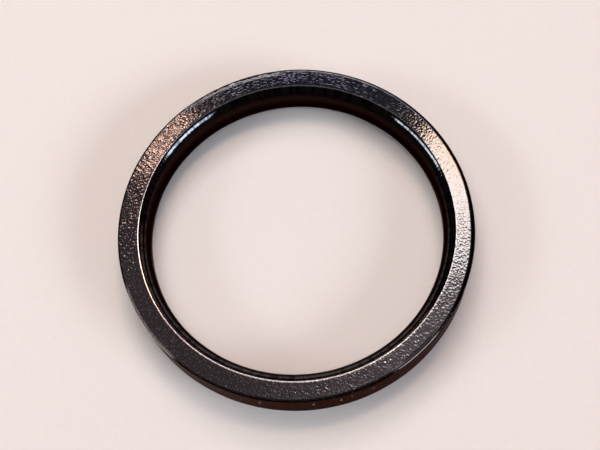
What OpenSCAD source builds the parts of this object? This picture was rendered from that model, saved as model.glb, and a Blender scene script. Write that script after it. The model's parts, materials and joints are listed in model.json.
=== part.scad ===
// Kada: a plain solid bangle, one closed ring of bar with two flat faces, a plain upright outer
// wall and an inner wall that swells towards the wrist. It lies flat, with its underside at
// z = 0 and the middle of its hole on the z axis.

/* [Size] */
// Inner diameter at its narrowest, which is the size that a bangle is sold by
inner_d = 66.7; // [57.2:0.1:76.2]
// Thickness of the bar, from the wrist outwards
bar_thick = 6.85; // [6:0.05:9]
// Height of the bar, along the arm
bar_high = 9.5; // [8:0.1:10]

/* [Section] */
// Radius of the curve by which the inner wall swells towards the wrist
swell_r = 5.1; // [4.6:0.05:9]
// Height of the upright band at the middle of the inner wall
inner_band = 1; // [1:0.1:3]
// Width of the small bevel between a flat face and the swelling wall
inner_bevel = 0.35; // [0.1:0.05:0.5]
// Radius of the rounded outer corners
outer_corner = 0.7; // [0.3:0.05:1]

/* [Hidden] */
coat_black = [0.07, 0.07, 0.08];
$fn = 240;
inner_r = inner_d / 2;
outer_r = inner_r + bar_thick;
half_high = bar_high / 2;
half_band = inner_band / 2;
corner_mid = [outer_r - outer_corner, half_high - outer_corner];

// The swell leaves the band upright and curves away to the flat face.
swell_mid = [inner_r + swell_r, half_band];
swell_high = half_high - half_band;
// Where the swell would meet the flat face, and how far below level it slopes there.
face_inner_r = swell_mid.x - sqrt(swell_r * swell_r - swell_high * swell_high);
swell_slope = acos(swell_high / swell_r);
// The bevel slopes half as much, and starts half its width out on the face.
bevel_slope = swell_slope / 2;
bevel_start_r = face_inner_r + inner_bevel / 2;
// How far the shapes that only cut reach past the bar.
past = 1;

// The bar above its middle, square on the wrist side: x runs outwards from the ring's axis, y up.
module half_bar() {
    translate([inner_r, 0]) square([corner_mid.x - inner_r, half_high]);
    translate([inner_r, 0]) square([bar_thick, corner_mid.y]);
    translate(corner_mid) circle(outer_corner);
}

// What the swell leaves free, between the bar's square corner and the arc.
module wrist_side() {
    difference() {
        translate([inner_r - past, half_band])
            square([swell_mid.x - inner_r + past, swell_high + past]);
        translate(swell_mid) circle(swell_r);
        translate([face_inner_r, half_band])
            square([swell_mid.x - face_inner_r + past, swell_high + 2 * past]);
    }
}

// The wedge above the bevel.
module bevel_cut() {
    translate([bevel_start_r, half_high])
        polygon([[0, 0], [0, past], [-past, past], [-past, -past * tan(bevel_slope)]]);
}

module half_section() {
    difference() {
        half_bar();
        wrist_side();
        bevel_cut();
    }
}

// The whole bangle: the section and its mirror image below, turned once round the axis.
module kada() {
    color(coat_black)
        translate([0, 0, half_high])
            rotate_extrude() {
                half_section();
                mirror([0, 1]) half_section();
            }
}

kada();
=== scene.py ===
import json
import math

import bpy
import numpy as np
from mathutils import Matrix, Vector


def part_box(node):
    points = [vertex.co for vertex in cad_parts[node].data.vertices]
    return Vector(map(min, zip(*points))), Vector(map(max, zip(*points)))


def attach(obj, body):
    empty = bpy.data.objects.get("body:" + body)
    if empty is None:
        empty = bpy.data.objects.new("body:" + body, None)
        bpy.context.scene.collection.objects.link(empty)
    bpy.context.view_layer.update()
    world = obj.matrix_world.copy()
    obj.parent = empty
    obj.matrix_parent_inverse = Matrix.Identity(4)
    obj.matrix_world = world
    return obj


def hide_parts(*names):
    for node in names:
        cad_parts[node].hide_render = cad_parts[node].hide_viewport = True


# A black coated kada: one closed ring of square-shouldered bar, lying flat on a pale floor.
# Everything is in metres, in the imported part's own frame. Azimuths run round the ring's axis from
# +x, at the right, through +y, at the far side, and the tables below give them in degrees.
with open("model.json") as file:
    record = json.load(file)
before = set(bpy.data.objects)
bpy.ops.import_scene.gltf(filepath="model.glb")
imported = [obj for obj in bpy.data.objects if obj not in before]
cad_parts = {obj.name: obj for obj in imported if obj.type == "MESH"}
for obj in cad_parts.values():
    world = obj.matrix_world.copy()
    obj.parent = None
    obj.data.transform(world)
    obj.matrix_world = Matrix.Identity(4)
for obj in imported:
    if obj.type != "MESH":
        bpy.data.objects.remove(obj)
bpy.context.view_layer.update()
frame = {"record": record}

MM = 0.001


# Camera

# The view, measured from the ring's four edges: how far the ring is turned about the x and y axes
# under a lens that looks straight down, how far its top face's middle lies right of and above the
# lens's line of sight, how far off it is, and the lens's focal length in mm.
VIEW_LEAN = math.radians(-21.87)
VIEW_SIDEWAYS = math.radians(-3.25)
VIEW_OFFSET = (-1.12 * MM, 0.17 * MM)
VIEW_DISTANCE = 220 * MM
VIEW_LENS = 58.82
# Nothing nearer to the lens than this is drawn.
VIEW_NEAREST = 1 * MM


def photo_camera(top):
    """The camera at the photo's angle: the ring is turned before a lens that looks straight down."""
    turn = Matrix.Rotation(VIEW_LEAN, 3, "X") @ Matrix.Rotation(VIEW_SIDEWAYS, 3, "Y")
    back = turn.transposed()
    place = back @ Vector((-VIEW_OFFSET[0], -VIEW_OFFSET[1], VIEW_DISTANCE)) + Vector((0, 0, top))
    lens = bpy.data.cameras.new("photo_camera")
    lens.lens = VIEW_LENS
    lens.clip_start = VIEW_NEAREST
    camera = bpy.data.objects.new("photo_camera", lens)
    camera.matrix_world = Matrix.Translation(place) @ back.to_4x4()
    bpy.context.scene.collection.objects.link(camera)
    bpy.context.scene.camera = camera


# The ring's form

box_low, box_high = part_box("kada")
OUTER_R = (box_high.x - box_low.x) / 2
# Half the bar's height, at which its middle lies.
MID_HIGH = (box_high.z - box_low.z) / 2
BORE_R = next(m["dims"]["r_mm"] for m in frame["record"]["mounts"] if m["name"] == "wrist_bore") * MM

# The inner wall: the radius of its swell, half the height of the upright band at its middle, and
# the radius of the ease by which it runs into a flat face.
SWELL_R = 5.1 * MM
HALF_BAND = 0.5 * MM
EASE_R = 0.42 * MM
# The swell climbs the band within one part in this many of its turn.
BAND_PARTS = 6
# How far the inner edges of both flat faces lie off the middle, towards +x and +y, and by which
# power of the height from the bar's middle that grows from the band.
INNER_OFF = (0.18 * MM, -0.15 * MM)
INNER_OFF_POWER = 4
# The outer corner is rounded by hand: its radius in mm by azimuth, greatest at the right.
CORNER_AROUND = {0: 1.06, 25: 1.02, 45: 0.87, 70: 0.65, 100: 0.50, 135: 0.28, 165: 0.15, 190: 0.15,
                 205: 0.30, 225: 0.32, 260: 0.42, 295: 0.55, 322: 0.62, 338: 0.88}

# The mesh's columns round the ring, and its rows on each stretch of the section, from the inner
# edge of the top face outwards and round.
COLUMNS = 1200
ROWS = {"top_ease": 6, "top_face": 20, "top_corner": 5, "outer_wall": 15, "low_corner": 4,
        "low_face": 8, "low_ease": 3, "swell": 21}

# Sums of plane waves that shape the surface: how deep, how long the waves, how many, and the seed.
# First the waviness of the forged bar, then the coat's unevenness as far as the mesh can hold it.
FORGE = {"deep": 0.030 * MM, "lengths": (9 * MM, 34 * MM), "count": 40, "seed": 11}
PEEL = {"deep": 0.0015 * MM, "lengths": (0.85 * MM, 1.7 * MM), "count": 90, "seed": 12}
# The forged waviness lies inwards by its whole depth and swings by this share of it.
FORGE_SWING = 0.4

# Flats that were dressed on the outer edge, outwards from a ridge: where, how far in from the
# corner's rounding, how steep in degrees, how much more or less wrinkled than the face, over what
# width that sets in, and how dark the line of painted shade along the ridge is.
FLATS = [{"from": 92, "to": 133, "wide": 1.15 * MM, "slope": 4.6, "wrinkles": 0.6, "blend": 0.1 * MM,
          "line": 0.8},
         {"from": 303, "to": 323, "wide": 0.62 * MM, "slope": 6.0, "wrinkles": -0.8, "blend": 0.40 * MM,
          "line": 0.0}]
# Over how many degrees a flat runs out at either end, and how wide the painted shade line is.
FLAT_ENDS = 7
RIDGE_WIDE = 0.26 * MM


# The coat's masks

# A chart by azimuth holds for the top face or one of its edges. A chart by stretch names stretches
# of the section, and gives amounts by the share of the way from a stretch's first row to its last.

# How strongly the coat is wrinkled.
WRINKLED_AROUND = {0: 1.3, 9: 0.8, 28: 0.6, 36: 1.0, 56: 1.35, 68: 1.9, 90: 1.7, 108: 1.9, 125: 1.8,
                   150: 0.85, 165: 0.75, 180: 1.9, 200: 1.5, 250: 1.2, 285: 1.6, 320: 1.15, 345: 1.4}
WRINKLED_ON = {"top_ease": {0: 0.3}, "low_face": {0: 1.0}, "swell": {0.75: 0.12, 1: 0.62}}
WRINKLED_ELSEWHERE = 0.15
# The margin that is left smoother along the top face's inner edge: how wide, and how much smoother.
MARGIN_WIDE = 0.45 * MM
MARGIN_SMOOTH = 0.7
# How far the wrinkles run on along the ring in place of lying all ways, and how much longer than
# wide they are there.
GRAINED_AROUND = {26: 0.0, 40: 0.5, 56: 1.0, 122: 1.0, 142: 0.0}
GRAIN_STRETCH = 4.2
# How far specks of dust and pinholes show.
DUSTED_AROUND = {0: 0.1, 20: 0.1, 60: 0.4, 90: 0.5, 165: 0.6, 178: 1.7, 190: 1.7, 202: 1.0, 250: 0.9,
                 275: 1.1, 300: 0.9, 330: 0.3}
DUSTED_ON = {"swell": {0: 0.0}}
DUSTED_ELSEWHERE = 0.12
# How much bright metal shows along the inner edge, rubbed through and as a painted highlight.
RUBBED_AND_HIGHLIT_AROUND = {0: 0.06, 20: 0.0, 38: 0.0, 52: 0.10, 60: 0.14, 115: 0.14, 128: 0.1, 140: 0.3, 150: 1.0,
                 172: 0.7, 186: 0.6, 205: 0.95, 235: 1.0, 250: 0.9, 280: 0.9, 312: 0.7, 325: 0.4, 345: 0.2}
# And painted highlights of bright metal along two parts of the outer edge: where, and how much,
# over how many degrees one fades at either end, and its share on each row of the mesh, counted
# from the corner's first.
EDGE_PAINTED_HIGHLIGHTS = [{"from": 198, "to": 231, "amount": 1.0}, {"from": 300, "to": 322, "amount": 0.3}]
EDGE_HIGHLIGHT_ENDS = 4
EDGE_HIGHLIGHT_ROWS = {-1: 0.6, 0: 1.0, 1: 0.3, 2: 0.3, 3: 0.3}
# Small bright spots in the outer wall's colour, with no depth: at which azimuth, how far down, half their
# height, and how bright.
WALL_SPOTS = [{"at": 246, "drop": 2.9 * MM, "tall": 0.4 * MM, "bright": 0.50},
         {"at": 253, "drop": 3.9 * MM, "tall": 0.5 * MM, "bright": 0.45},
         {"at": 259, "drop": 3.4 * MM, "tall": 0.6 * MM, "bright": 0.90},
         {"at": 275.5, "drop": 3.3 * MM, "tall": 0.6 * MM, "bright": 1.0},
         {"at": 284, "drop": 3.8 * MM, "tall": 0.7 * MM, "bright": 0.90},
         {"at": 287.5, "drop": 3.2 * MM, "tall": 0.5 * MM, "bright": 0.75},
         {"at": 291.5, "drop": 4.3 * MM, "tall": 0.4 * MM, "bright": 0.45},
         {"at": 294.5, "drop": 3.5 * MM, "tall": 0.5 * MM, "bright": 0.85}]
# Half a spot's width round the ring.
SPOT_ACROSS = 0.15 * MM
# Where the coat is the walls' darker, browner one, whose colour is painted shade and painted
# reflection: on the outer wall, and on the swell as far as the shoulder.
WALLED_ON = {"outer_wall": {0: 1.0}, "low_corner": {0: 1.0},
             "swell": {0.80: 1.0, 0.85: 0.72, 0.90: 0.12, 0.95: 0.0}}
# The inner wall, whose coat is painted darker still, as painted shade.
INNER_ON = {"swell": {0: 1.0}}
# How far the outer corner's coat is painted darker, as painted shade.
PAINTED_SHADE_ON = {"top_corner": {0: 0.5, 0.25: 1.0}}
# How far the coat is streaked down the shoulder, where the inner wall meets the top face.
STREAKED_ON = {"top_ease": {0.24: 1.0, 0.84: 0.0}, "swell": {0.75: 0.0, 0.85: 1.0}}


def by_azimuth(chart, azimuth):
    """A value read off a chart of azimuths, straight between its entries and closed round."""
    return np.interp(azimuth, np.radians(list(chart)), list(chart.values()), period=2 * math.pi)


def by_stretch(chart, elsewhere=0.0):
    """Amounts on the whole grid, read off a chart by stretch, straight between its entries.

    Before a stretch's first entry and after its last the amount stays level. A stretch that isn't
    in the chart has the amount elsewhere.
    """
    parts = []
    for name, count in ROWS.items():
        entries = chart.get(name, {0: elsewhere})
        parts.append(np.interp(np.linspace(0, 1, count), list(entries), list(entries.values())))
    return np.repeat(np.concatenate(parts)[:, None], COLUMNS, axis=1)


def stretch_rows():
    """For each stretch of the section, the slice of grid rows that it takes."""
    rows, start = {}, 0
    for name, count in ROWS.items():
        rows[name] = slice(start, start + count)
        start += count
    return rows


def steps(first, last, count):
    """A column of even steps from first to last, without the last, so that stretches only join."""
    return np.linspace(first, last, count, endpoint=False)[:, None]


def smooth(value):
    """0 up to 0, 1 from 1 on, and the smooth step 3 t^2 - 2 t^3 between."""
    share = np.clip(value, 0, 1)
    return share * share * (3 - 2 * share)


def window(azimuth, stretch, ends):
    """1 from a stretch's start to its end, 0 outside, with smooth ends that many degrees long inside it."""
    low, high, ends = math.radians(stretch["from"]), math.radians(stretch["to"]), math.radians(ends)
    return smooth((azimuth - low) / ends) * smooth((high - azimuth) / ends)


def corner_width(azimuth):
    """Radius of the outer corner's rounding, read off its chart."""
    return by_azimuth(CORNER_AROUND, azimuth) * MM


def section(azimuth):
    """The closed section at each azimuth, as rows of radius and height above the ring's middle.

    The swell is an arc of radius SWELL_R about a point HALF_BAND above the middle. A smaller arc
    of radius EASE_R rolls inside it up to the flat face. The face runs straight to the corner, a
    quarter circle of radius corner_width; the wall drops straight to its mirror image below.
    """
    swell_mid = BORE_R + SWELL_R
    ease_up = MID_HIGH - EASE_R
    ease_mid = swell_mid - math.sqrt((SWELL_R - EASE_R) ** 2 - (ease_up - HALF_BAND) ** 2)
    ease_turn = math.atan2(ease_up - HALF_BAND, swell_mid - ease_mid)
    wide = corner_width(azimuth)
    parts = []

    def add(radius, height):
        parts.append(np.broadcast_arrays(radius, height, azimuth)[:2])

    turn = steps(ease_turn, math.pi / 2, ROWS["top_ease"])
    add(ease_mid - EASE_R * np.cos(turn), ease_up + EASE_R * np.sin(turn))
    along = steps(0, 1, ROWS["top_face"])
    add(ease_mid + along * (OUTER_R - wide - ease_mid), MID_HIGH)
    turn = steps(0, math.pi / 2, ROWS["top_corner"])
    add(OUTER_R - wide + wide * np.sin(turn), MID_HIGH - wide + wide * np.cos(turn))
    along = steps(0, 1, ROWS["outer_wall"])
    add(OUTER_R, (MID_HIGH - wide) * (1 - 2 * along))
    turn = steps(0, math.pi / 2, ROWS["low_corner"])
    add(OUTER_R - wide + wide * np.cos(turn), wide - MID_HIGH - wide * np.sin(turn))
    along = steps(0, 1, ROWS["low_face"])
    add(OUTER_R - wide - along * (OUTER_R - wide - ease_mid), -MID_HIGH)
    turn = steps(math.pi / 2, ease_turn, ROWS["low_ease"])
    add(ease_mid - EASE_R * np.cos(turn), -ease_up - EASE_R * np.sin(turn))
    # The swell turns through both halves, and its upright band parts them.
    turn = steps(-ease_turn, ease_turn, ROWS["swell"])
    band = np.clip(turn / ease_turn * BAND_PARTS, -1, 1) * HALF_BAND
    add(swell_mid - SWELL_R * np.cos(turn), band + SWELL_R * np.sin(turn))
    radius = np.concatenate([part[0] for part in parts])
    height = np.concatenate([part[1] for part in parts])
    return radius, height


def inner_shift(azimuth, radius, height):
    """How far each point lies further out because the inner edges are off centre.

    The shift is INNER_OFF along each azimuth. It is full on the inner wall and none on the outer
    one, full at both faces and none at the middle of the bar's height.
    """
    inward = np.clip((OUTER_R - radius) / (OUTER_R - BORE_R), 0, 1)
    shift = INNER_OFF[0] * np.cos(azimuth) + INNER_OFF[1] * np.sin(azimuth)
    return shift * inward * (height / MID_HIGH) ** INNER_OFF_POWER


def dressed(azimuth, rows, radius, height, wrinkles):
    """Heights, wrinkles and lines of painted shade along the ridges once the flats are dressed.

    Outwards from its ridge a flat falls by its slope, times a window along the ring. Its wrinkles
    change over the blend's width, and the painted shade line is a bell curve across the ridge.
    """
    lines = np.zeros(radius.shape)
    face = rows["top_face"]
    for flat in FLATS:
        ridge = OUTER_R - corner_width(azimuth) - flat["wide"]
        share = window(azimuth, flat, FLAT_ENDS)
        beyond = np.where(height > 0, np.clip(radius - ridge, 0, None), 0) * share
        height = height - beyond * math.tan(math.radians(flat["slope"]))
        wrinkles = wrinkles * (1 + flat["wrinkles"] * np.clip(beyond / flat["blend"], 0, 1))
        line = np.exp(-((radius - ridge) / (RIDGE_WIDE / 2)) ** 2)
        lines[face] += (line * share)[face] * flat["line"]
    return height, wrinkles, lines


def waves(points, kind):
    """A sum of plane waves through space in random directions, of spread 1, times its depth.

    Each wave has a random length between the two that its kind gives, and a random phase.
    """
    draw = np.random.default_rng(kind["seed"])
    ways = draw.normal(size=(3, kind["count"]))
    ways /= np.linalg.norm(ways, axis=0)
    length = draw.uniform(*kind["lengths"], kind["count"])
    phase = draw.uniform(0, 2 * math.pi, kind["count"])
    total = np.cos(points.reshape(-1, 3) @ (ways * 2 * math.pi / length) + phase).sum(axis=1)
    return total.reshape(points.shape[:-1]) * math.sqrt(2 / kind["count"]) * kind["deep"]


def grid_normals(points):
    """Outward normals of a grid that is closed both ways, from its neighbours' differences."""
    down = np.roll(points, -1, axis=0) - np.roll(points, 1, axis=0)
    around = np.roll(points, -1, axis=1) - np.roll(points, 1, axis=1)
    normal = np.cross(down, around)
    return normal / np.linalg.norm(normal, axis=2, keepdims=True)


def wrinkled(azimuth, rows, radius):
    """How much the coat is wrinkled: by azimuth on the top face, and by stretch elsewhere.

    From the top face's inner edge the wrinkles grow evenly to their full amount over the margin.
    """
    amount = by_stretch(WRINKLED_ON, WRINKLED_ELSEWHERE)
    face = rows["top_face"]
    outwards = np.clip((radius[face] - radius[face.start]) / MARGIN_WIDE, 0, 1)
    amount[face] = by_azimuth(WRINKLED_AROUND, azimuth) * (1 - MARGIN_SMOOTH * (1 - outwards))
    return amount


def dusted(azimuth, rows):
    """How far specks show: by azimuth on the top face, and by stretch elsewhere."""
    amount = by_stretch(DUSTED_ON, DUSTED_ELSEWHERE)
    amount[rows["top_face"]] = by_azimuth(DUSTED_AROUND, azimuth)
    return amount


def spotted(azimuth, rows, height):
    """Small spots on the outer wall, each a bell curve round the ring and down the wall."""
    amount = np.zeros(height.shape)
    wall = rows["outer_wall"]
    for spot in WALL_SPOTS:
        down = (MID_HIGH - height[wall] - spot["drop"]) / spot["tall"]
        across = (azimuth - math.radians(spot["at"])) * OUTER_R / SPOT_ACROSS
        amount[wall] += spot["bright"] * np.exp(-across ** 2 - down ** 2)
    return amount


def rubbed_and_highlit(azimuth, rows, shape):
    """How much bright metal shows: rising evenly up the inner edge, rubbed through and as a painted
    highlight, and as painted highlights on parts of the outer edge.
    """
    amount = np.zeros(shape)
    ease, corner = rows["top_ease"], rows["top_corner"]
    rising = np.linspace(0, 1, ROWS["top_ease"] + 1)[:, None]
    amount[ease.start:ease.stop + 1] = rising * by_azimuth(RUBBED_AND_HIGHLIT_AROUND, azimuth)
    for edge_highlight in EDGE_PAINTED_HIGHLIGHTS:
        edge = window(azimuth, edge_highlight, EDGE_HIGHLIGHT_ENDS)[0] * edge_highlight["amount"]
        for row, share in EDGE_HIGHLIGHT_ROWS.items():
            amount[corner.start + row] += edge * share
    return amount


def ring_grid():
    """The ring's points and the masks that its coat reads, on a grid of section rows by azimuth.

    The section is carried round the ring, its inner edges are shifted and its flats dressed, and
    then each point moves along its normal by the waves.
    """
    azimuth = np.linspace(0, 2 * math.pi, COLUMNS, endpoint=False)[None, :]
    rows = stretch_rows()
    radius, height = section(azimuth)
    radius = radius + inner_shift(azimuth, radius, height)
    wrinkles = wrinkled(azimuth, rows, radius)
    height, wrinkles, lines = dressed(azimuth, rows, radius, height, wrinkles)
    points = np.stack([radius * np.cos(azimuth), radius * np.sin(azimuth), height + MID_HIGH], axis=2)
    forge = waves(points, FORGE) * FORGE_SWING - FORGE["deep"]
    points = points + grid_normals(points) * (forge + waves(points, PEEL))[:, :, None]
    masks = {"wrinkled": wrinkles,
             "grained": np.broadcast_to(by_azimuth(GRAINED_AROUND, azimuth), radius.shape),
             "dusted": dusted(azimuth, rows),
             "rubbed_and_highlit": rubbed_and_highlit(azimuth, rows, radius.shape),
             "spotted": spotted(azimuth, rows, height),
             "walled": by_stretch(WALLED_ON),
             "inner": by_stretch(INNER_ON),
             # Painted shade: the outer corner and the flats' ridge lines drawn darker.
             "painted_shade": np.maximum(by_stretch(PAINTED_SHADE_ON), lines),
             "streaked": by_stretch(STREAKED_ON)}
    return points, masks


def grid_mesh(name, points, masks):
    """One closed mesh over a grid that wraps both ways, with a UV map and its masks by point."""
    tall, wide = points.shape[:2]
    row, column = np.meshgrid(np.arange(tall), np.arange(wide), indexing="ij")
    below, beside = (row + 1) % tall, (column + 1) % wide
    quads = np.stack([row * wide + column, below * wide + column,
                      below * wide + beside, row * wide + beside], axis=2).reshape(-1, 4)
    mesh = bpy.data.meshes.new(name)
    mesh.vertices.add(tall * wide)
    mesh.vertices.foreach_set("co", points.astype(np.float32).ravel())
    mesh.loops.add(quads.size)
    mesh.loops.foreach_set("vertex_index", quads.astype(np.int32).ravel())
    mesh.polygons.add(len(quads))
    mesh.polygons.foreach_set("loop_start", np.arange(0, quads.size, 4, dtype=np.int32))
    mesh.polygons.foreach_set("use_smooth", np.ones(len(quads), dtype=bool))
    mesh.update(calc_edges=True)
    across = np.stack([column, column, column + 1, column + 1], axis=2) / wide
    along = np.stack([row, row + 1, row + 1, row], axis=2) / tall
    unwrapped = mesh.uv_layers.new(name="UVMap")
    unwrapped.data.foreach_set("uv", np.stack([across, along], axis=3).astype(np.float32).ravel())
    for mask, values in masks.items():
        held = mesh.attributes.new(mask, "FLOAT", "POINT")
        held.data.foreach_set("value", values.astype(np.float32).ravel())
    mesh.validate()
    return mesh


# Shader maths


class Wire:
    """One output of a node. Arithmetic on it adds Math nodes to its tree."""

    def __init__(self, bench, socket):
        self.bench = bench
        self.socket = socket

    def __add__(self, other):
        return self.bench.math("ADD", self, other)

    def __radd__(self, other):
        return self.bench.math("ADD", other, self)

    def __sub__(self, other):
        return self.bench.math("SUBTRACT", self, other)

    def __rsub__(self, other):
        return self.bench.math("SUBTRACT", other, self)

    def __mul__(self, other):
        return self.bench.math("MULTIPLY", self, other)

    def __rmul__(self, other):
        return self.bench.math("MULTIPLY", other, self)

    def __truediv__(self, other):
        return self.bench.math("DIVIDE", self, other)

    def __rtruediv__(self, other):
        return self.bench.math("DIVIDE", other, self)

    def __abs__(self):
        return self.bench.math("ABSOLUTE", self)


class Bench:
    """The node tree of one material or of the studio."""

    def __init__(self, tree):
        self.tree = tree
        tree.nodes.clear()

    def node(self, kind, settings=None, sockets=None, output=0):
        """Adds a node: its settings first, then a value or a link for each socket that is named."""
        made = self.tree.nodes.new(kind)
        for name, value in (settings or {}).items():
            setattr(made, name, value)
        for key, value in (sockets or {}).items():
            if isinstance(value, Wire):
                self.tree.links.new(value.socket, made.inputs[key])
            else:
                made.inputs[key].default_value = value
        return Wire(self, made.outputs[output]) if len(made.outputs) else made

    def math(self, operation, first, second=0):
        """A Math node's number."""
        return self.node("ShaderNodeMath", {"operation": operation}, {0: first, 1: second})

    def ramp(self, value, start, full):
        """0 at start, 1 at full, smooth between and level outside; full may be the lower one."""
        return self.node("ShaderNodeMapRange", {"interpolation_type": "SMOOTHSTEP"},
                         {"Value": value, "From Min": start, "From Max": full})

    def band(self, value, ends, softness):
        """1 between two ends and 0 outside, with a ramp as far as its softness on both sides of each."""
        (low, high), (low_soft, high_soft) = ends, softness
        rise = self.ramp(value, low - low_soft, low + low_soft)
        return rise * self.ramp(value, high + high_soft, high - high_soft)

    def mix(self, share, first, second):
        """A colour between two colours."""
        return self.node("ShaderNodeMix", {"data_type": "RGBA"}, {0: share, 6: first, 7: second}, output=2)

    def vector(self, operation, first, second=(0, 0, 0)):
        """A Vector Math node's vector."""
        return self.node("ShaderNodeVectorMath", {"operation": operation}, {0: first, 1: second})

    def scaled(self, vector, amount):
        """A vector or colour times a number."""
        return self.node("ShaderNodeVectorMath", {"operation": "SCALE"}, {0: vector, "Scale": amount})

    def dot(self, first, second):
        """How far one vector reaches along another, which is 1 long."""
        return self.node("ShaderNodeVectorMath", {"operation": "DOT_PRODUCT"}, {0: first, 1: second},
                         output="Value")

    def length(self, vector):
        """How long a vector is."""
        return self.node("ShaderNodeVectorMath", {"operation": "LENGTH"}, {0: vector}, output="Value")

    def apart(self, vector):
        """A vector's three parts, each as a number."""
        first = self.node("ShaderNodeSeparateXYZ", None, {0: vector})
        return [Wire(self, socket) for socket in first.socket.node.outputs]

    def attribute(self, name):
        """One of the mesh's own masks, as a number."""
        return self.node("ShaderNodeAttribute", {"attribute_name": name}, output="Fac")

    def noise(self, place, size, detail=0.0, rough=0.5):
        """Smooth noise about NOISE_MIDDLE whose lumps are about size across."""
        return self.node("ShaderNodeTexNoise", {"noise_dimensions": "3D"},
                         {"Vector": place, "Scale": 1 / size, "Detail": detail, "Roughness": rough})


# Materials

NOISE_MIDDLE = 0.5
# Wrinkles that lie all ways, and wrinkles that run on along the ring: a coarse noise and a fine
# one each, by how wide their lumps are and how high in mm.
LUMPS = [{"wide": 0.48 * MM, "high": 0.019}, {"wide": 0.29 * MM, "high": 0.003}]
RUNS = [{"wide": 0.27 * MM, "high": 0.0135}, {"wide": 0.17 * MM, "high": 0.002}]
# How the noise of the first kind is turned, in radians, so that it lines up with no face.
LUMPS_TURN = (0.64, 0.41, 0.27)
# Narrow creases between those lumps, along which a slower noise passes its middle: how far apart
# they lie, how far from the middle they reach, and how deep they are in mm.
CREASE_APART = 0.9 * MM
CREASE_REACH = 0.03
CREASE_DEEP = 0.002
# Patches in the rubbed metal and painted highlights: how wide, and how bright at least and how much
# more at most.
RUB_AND_HIGHLIGHT_PATCH = 0.5 * MM
RUB_AND_HIGHLIGHT_LEAST, RUB_AND_HIGHLIGHT_MORE = 0.6, 0.8
# Specks: how far apart, between which values of the noise they come up, and how bright they are.
SPECK_APART = 0.34 * MM
SPECK_LEVELS = (0.67, 0.75)
SPECK_BRIGHT = 0.35
# Streaks down the shoulder: how wide, between which values of the noise, and how strong.
STREAK_WIDE = 1.5 * MM
STREAK_LEVELS = (0.56, 0.38)
STREAK_STRONG = 0.8
# The satin coat's two blacks, between which it is cloudy, and how wide the clouds are.
COAT_BLACKS = ((0.069, 0.068, 0.071, 1), (0.075, 0.074, 0.077, 1))
CLOUD_WIDE = 6 * MM
# Painted shade on the outer corner and along the flats' ridges.
PAINTED_SHADE_BLACK = (0.005, 0.004, 0.004, 1)
# The shoulder's streaks, and the satin coat's tint at grazing angles.
STREAK_BLACK = (0.010, 0.010, 0.012, 1)
SATIN_TINT = (0.50, 0.46, 0.45, 1)
# The walls' coat: its colour on the outer wall, dark brown as painted reflection and painted shade,
# and on the inner one, near black as painted shade, and its edge tint, a painted brown reflection.
OUTER_WALL_PAINTED_REFLECTION = (0.045, 0.030, 0.026, 1)
INNER_WALL_PAINTED_SHADE = (0.013, 0.007, 0.006, 1)
WALL_PAINTED_REFLECTION_TINT = (0.40, 0.28, 0.24, 1)
# Bright metal, for rubbed metal and painted highlights, and for specks and spots.
BARE_METAL_AND_HIGHLIGHT = (0.66, 0.60, 0.56, 1)
# Roughness of the satin coat, how much creases and bright metal add to it, and that of the walls' coat.
SATIN_ROUGH, CREASE_ROUGH, BARE_ROUGH = 0.058, 0.02, 0.12
WALL_ROUGH = 0.33
# The floor's two colours, between which it changes with its tooth, and how wide the tooth is.
FLOOR_COLOURS = ((0.76, 0.68, 0.62, 1), (0.80, 0.715, 0.65, 1))
FLOOR_TOOTH = 1.4 * MM


def two_noises(bench, place, grades):
    """A coarse and a fine noise, each times its height, summed."""
    coarse, fine = [bench.noise(place, grade["wide"]) * grade["high"] for grade in grades]
    return coarse + fine


def coat_relief(bench, place, outwards):
    """The coat's height in mm, and a share that is 1 between creases and 0 in them.

    Where the coat isn't grained it is lumps and creases on turned Object coordinates. Where it is,
    its noise is read at the angle times a shortened radius, the radius and the height instead, so
    that each lump is drawn out along the ring.
    """
    turned = bench.node("ShaderNodeMapping", None, {"Vector": place, "Rotation": LUMPS_TURN})
    clear = bench.ramp(abs(bench.noise(turned, CREASE_APART) - NOISE_MIDDLE), 0.0, CREASE_REACH)
    all_ways = two_noises(bench, turned, LUMPS) + clear * CREASE_DEEP
    x, y, up = bench.apart(place)
    along = bench.math("ARCTAN2", y, x) * (OUTER_R / GRAIN_STRETCH)
    rolled = bench.node("ShaderNodeCombineXYZ", None, {0: along, 1: bench.length(outwards), 2: up})
    grained = bench.attribute("grained")
    return all_ways * (1 - grained) + two_noises(bench, rolled, RUNS) * grained, clear


def bare_and_highlit_share(bench, place):
    """How much bright metal shows: in patches of rubbed metal and painted highlight, in scattered
    specks and in bright spots.
    """
    patchy = bench.noise(place, RUB_AND_HIGHLIGHT_PATCH, detail=2.0, rough=0.6)
    patches = bench.attribute("rubbed_and_highlit") * (RUB_AND_HIGHLIGHT_LEAST + patchy * RUB_AND_HIGHLIGHT_MORE)
    speck = bench.ramp(bench.noise(place, SPECK_APART), *SPECK_LEVELS)
    return patches + speck * bench.attribute("dusted") * SPECK_BRIGHT + bench.attribute("spotted")


def satin_black(bench, place, outwards):
    """The satin coat's colour: cloudy, darker where shade is painted, and streaked down the shoulder.

    The streaks' noise is read at the direction from the ring's axis, so it changes only round the ring.
    """
    coat = bench.mix(bench.noise(place, CLOUD_WIDE, detail=2.0), *COAT_BLACKS)
    coat = bench.mix(bench.attribute("painted_shade"), coat, PAINTED_SHADE_BLACK)
    heading = bench.vector("NORMALIZE", outwards)
    streaky = bench.noise(heading, STREAK_WIDE / OUTER_R, detail=2.0, rough=0.6)
    streaks = bench.ramp(streaky, *STREAK_LEVELS) * bench.attribute("streaked") * STREAK_STRONG
    return bench.mix(streaks, coat, STREAK_BLACK)


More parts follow.
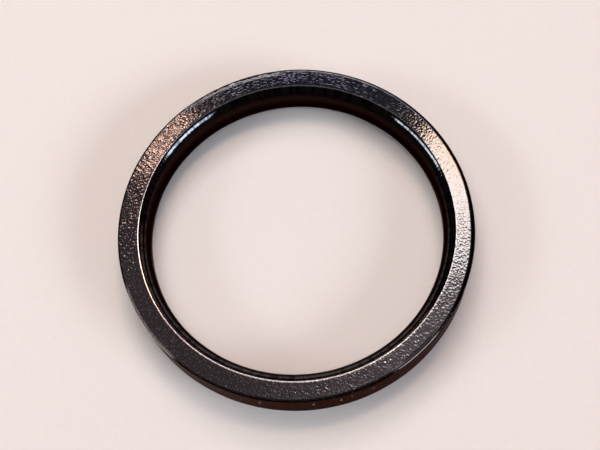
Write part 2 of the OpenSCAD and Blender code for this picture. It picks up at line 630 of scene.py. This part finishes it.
def black_coat():
    """The baked black coat: satin and wrinkled on the faces; darker and browner on the walls, as
    painted shade and painted reflection.

    The walls' mask mixes the two. Both turn to bright metal, which is rubbed metal and painted
    highlight, specks and spots, by the same share.
    """
    material = bpy.data.materials.new("black_coat")
    material.use_nodes = True
    bench = Bench(material.node_tree)
    place = bench.node("ShaderNodeTexCoord", output="Object")
    outwards = bench.vector("MULTIPLY", place, (1, 1, 0))
    relief, clear = coat_relief(bench, place, outwards)
    bump = bench.node("ShaderNodeBump", None, {
        "Strength": 1.0, "Distance": 1.0 * MM, "Height": relief * bench.attribute("wrinkled")})
    bare_and_highlit = bare_and_highlit_share(bench, place)
    satin = bench.node("ShaderNodeBsdfPrincipled", None, {
        "Base Color": bench.mix(bare_and_highlit, satin_black(bench, place, outwards), BARE_METAL_AND_HIGHLIGHT), "Metallic": 1.0,
        "Roughness": SATIN_ROUGH + (1 - clear) * CREASE_ROUGH + bare_and_highlit * BARE_ROUGH,
        "Specular Tint": SATIN_TINT, "Normal": bump})
    wall_shade_and_reflection = bench.mix(bench.attribute("inner"), OUTER_WALL_PAINTED_REFLECTION, INNER_WALL_PAINTED_SHADE)
    wall_coat = bench.node("ShaderNodeBsdfPrincipled", None, {
        "Base Color": bench.mix(bare_and_highlit, wall_shade_and_reflection, BARE_METAL_AND_HIGHLIGHT), "Metallic": 1 - bench.attribute("spotted"),
        "Roughness": WALL_ROUGH, "Specular Tint": WALL_PAINTED_REFLECTION_TINT, "Normal": bump})
    both = bench.node("ShaderNodeMixShader", None, {0: bench.attribute("walled"), 1: satin, 2: wall_coat})
    bench.node("ShaderNodeOutputMaterial", None, {"Surface": both})
    return material


def pale_floor():
    """Plain warm pale card, with a faint tooth."""
    material = bpy.data.materials.new("pale_floor")
    material.use_nodes = True
    bench = Bench(material.node_tree)
    place = bench.node("ShaderNodeTexCoord", output="Object")
    colour = bench.mix(bench.noise(place, FLOOR_TOOTH, detail=3.0), *FLOOR_COLOURS)
    shader = bench.node("ShaderNodeBsdfPrincipled", None, {
        "Base Color": colour, "Roughness": 0.85, "Specular IOR Level": 0.2})
    bench.node("ShaderNodeOutputMaterial", None, {"Surface": shader})
    return material


# Studio

# Lit panels overhead: the low and high ends of each one's tangents from straight up, towards +x and
# towards +y, the softness of those four edges, its strength and its colour. One leans: for each
# unit that it comes nearer than its far edge its x falls by that much, and its colour changes
# evenly to the far one.
CEILING_PANELS = {
    "key": {"x": (0.165, 0.42), "y": (0.370, 0.60), "soft": (0.004, 0.05, 0.044, 0.03), "lean": 0.85,
            "strength": 13.5, "colour": (1.0, 1.0, 1.0), "far_colour": (1.0, 0.58, 0.25)},
    "key_glow": {"x": (-0.04, 0.40), "y": (0.18, 0.42), "soft": (0.10, 0.10, 0.10, 0.08),
                 "strength": 0.62, "colour": (1.0, 0.86, 0.86)},
    "near_glow": {"x": (-0.40, 0.30), "y": (0.0, 0.42), "soft": (0.10, 0.10, 0.10, 0.08),
                  "strength": 0.32, "colour": (1.0, 0.76, 0.80)},
    "warm": {"x": (-0.236, -0.176), "y": (0.492, 0.537), "soft": (0.03, 0.03, 0.033, 0.02),
             "strength": 26.5, "colour": (1.0, 0.63, 0.47)},
    "far_glow": {"x": (-0.10, 0.40), "y": (0.715, 0.85), "soft": (0.04, 0.10, 0.012, 0.05),
                 "strength": 4.2, "colour": (0.92, 0.90, 1.2)},
    "far_band": {"x": (-0.40, -0.09), "y": (0.715, 0.765), "soft": (0.05, 0.06, 0.015, 0.02),
                 "strength": 8.5, "colour": (0.98, 0.94, 1.12)},
    "edge_light": {"x": (-0.45, 0.30), "y": (0.885, 1.25), "soft": (0.10, 0.10, 0.03, 0.10),
                   "strength": 6.0, "colour": (1.0, 0.92, 0.90)},
    "near_strip": {"x": (-0.6, 0.6), "y": (-0.45, -0.20), "soft": (0.10, 0.10, 0.05, 0.05),
                   "strength": 1.8, "colour": (0.97, 0.97, 1.1)},
    "blue_ceiling": {"x": (-0.5, 0.5), "y": (0.40, 0.70), "soft": (0.10, 0.10, 0.06, 0.10),
                     "strength": 0.12, "colour": (0.8, 0.85, 1.4)},
}
# Soft boxes at the sides: the azimuth and elevation of each one's middle, half its width and height
# as tangents from there, its strength and its colour.
SIDE_BOXES = {
    "left_box": {"azimuth": 194.5, "elevation": 28, "half": (0.25, 0.085), "strength": 11.0,
                 "colour": (0.82, 0.92, 1.0)},
    "right_box": {"azimuth": 331, "elevation": 25, "half": (0.26, 0.13), "strength": 14.0,
                  "colour": (0.78, 0.89, 1.06)},
    "far_horizon": {"azimuth": 75, "elevation": 14, "half": (1.3, 0.16), "strength": 0.6,
                    "colour": (1.0, 0.55, 0.42)},
}
# The softness of a box's edges, the cosines from its middle between which it comes up, and the
# least one that its tangents are worked out with.
BOX_SOFT = 0.03
BOX_COMES_UP = (0.5, 0.6)
BOX_LEAST = 0.1
# The dim ceiling round the panels, and the upward part of a direction below which it fades out.
CEILING_COLOUR = (0.045, 0.036, 0.036)
HORIZON = 0.02
# A wide lamp that lights the floor softly: its place, width and power.
FILL_PLACE = (-0.35, 0.45, 1.1)
FILL_WIDE = 0.8
FILL_POWER = 5.5
# Half the floor's width.
FLOOR_HALF = 3.0


def panel_light(bench, east, north, panel):
    """A ceiling panel's light in a direction: a rectangle of its tangents with soft edges."""
    near, far = panel["y"]
    slid = east - (north - far) * panel["lean"] if "lean" in panel else east
    share = bench.band(slid, panel["x"], panel["soft"][:2]) * bench.band(north, panel["y"], panel["soft"][2:])
    colour = panel["colour"]
    if "far_colour" in panel:
        colour = bench.mix((north - near) / (far - near), (*colour, 1), (*panel["far_colour"], 1))
    return bench.scaled(colour, share * panel["strength"])


def box_light(bench, way, box):
    """A side box's light in a direction: a soft-edged rectangle, square to the line to its middle."""
    turn, lift = math.radians(box["azimuth"]), math.radians(box["elevation"])
    aim = Vector((math.cos(turn) * math.cos(lift), math.sin(turn) * math.cos(lift), math.sin(lift)))
    across = Vector((-math.sin(turn), math.cos(turn), 0))
    facing = bench.math("MAXIMUM", bench.dot(way, aim), BOX_LEAST)
    inside_wide, inside_tall = [
        bench.ramp(abs(bench.dot(way, axis) / facing), half + BOX_SOFT, half - BOX_SOFT)
        for axis, half in zip((across, aim.cross(across)), box["half"])]
    share = inside_wide * inside_tall * bench.ramp(facing, *BOX_COMES_UP)
    return bench.scaled(box["colour"], share * box["strength"])


def studio():
    """A world like a small studio: dim all round, with lit panels overhead and boxes at the sides.

    A direction's tangents from straight up are x / z and y / z, so each panel is a rectangle there.
    """
    world = bpy.data.worlds.new("studio")
    bpy.context.scene.world = world
    world.use_nodes = True
    bench = Bench(world.node_tree)
    way = bench.node("ShaderNodeTexCoord", output="Generated")
    x, y, up = bench.apart(way)
    safe_up = bench.math("MAXIMUM", up, HORIZON)
    east = x / safe_up
    north = y / safe_up
    light = bench.scaled(CEILING_COLOUR, bench.ramp(up, 0.0, HORIZON))
    for panel in CEILING_PANELS.values():
        light = bench.vector("ADD", light, panel_light(bench, east, north, panel))
    for box in SIDE_BOXES.values():
        light = bench.vector("ADD", light, box_light(bench, way, box))
    shader = bench.node("ShaderNodeBackground", None, {"Color": light, "Strength": 1.0})
    bench.node("ShaderNodeOutputWorld", None, {"Surface": shader})
    bpy.context.scene.view_settings.view_transform = "Standard"


def fill_lamp():
    """A square lamp high up, aimed at the ring. It doesn't show in the coat, which mirrors the panels."""
    light = bpy.data.lights.new("fill_lamp", "AREA")
    light.size = FILL_WIDE
    light.energy = FILL_POWER
    lamp = bpy.data.objects.new("fill_lamp", light)
    lamp.location = FILL_PLACE
    lamp.rotation_euler = Vector(FILL_PLACE).to_track_quat("Z", "Y").to_euler()
    lamp.visible_glossy = False
    bpy.context.scene.collection.objects.link(lamp)


def floor():
    """A flat square sheet under the ring, made as a 2 by 2 grid of corner points."""
    side = np.array([-FLOOR_HALF, FLOOR_HALF])
    x, y = np.meshgrid(side, side)
    points = np.stack([x, y, np.zeros_like(x)], axis=2).reshape(-1, 3)
    mesh = bpy.data.meshes.new("floor")
    mesh.from_pydata(points.tolist(), [], [(0, 1, 3, 2)])
    mesh.materials.append(pale_floor())
    sheet = bpy.data.objects.new("floor", mesh)
    bpy.context.scene.collection.objects.link(sheet)


def kada():
    """The ring itself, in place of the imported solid."""
    points, masks = ring_grid()
    mesh = grid_mesh("coated_ring", points, masks)
    mesh.materials.append(black_coat())
    ring = bpy.data.objects.new("coated_ring", mesh)
    bpy.context.scene.collection.objects.link(ring)
    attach(ring, "root")
    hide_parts("kada")


photo_camera(box_high.z)
kada()
floor()
studio()
fill_lamp()
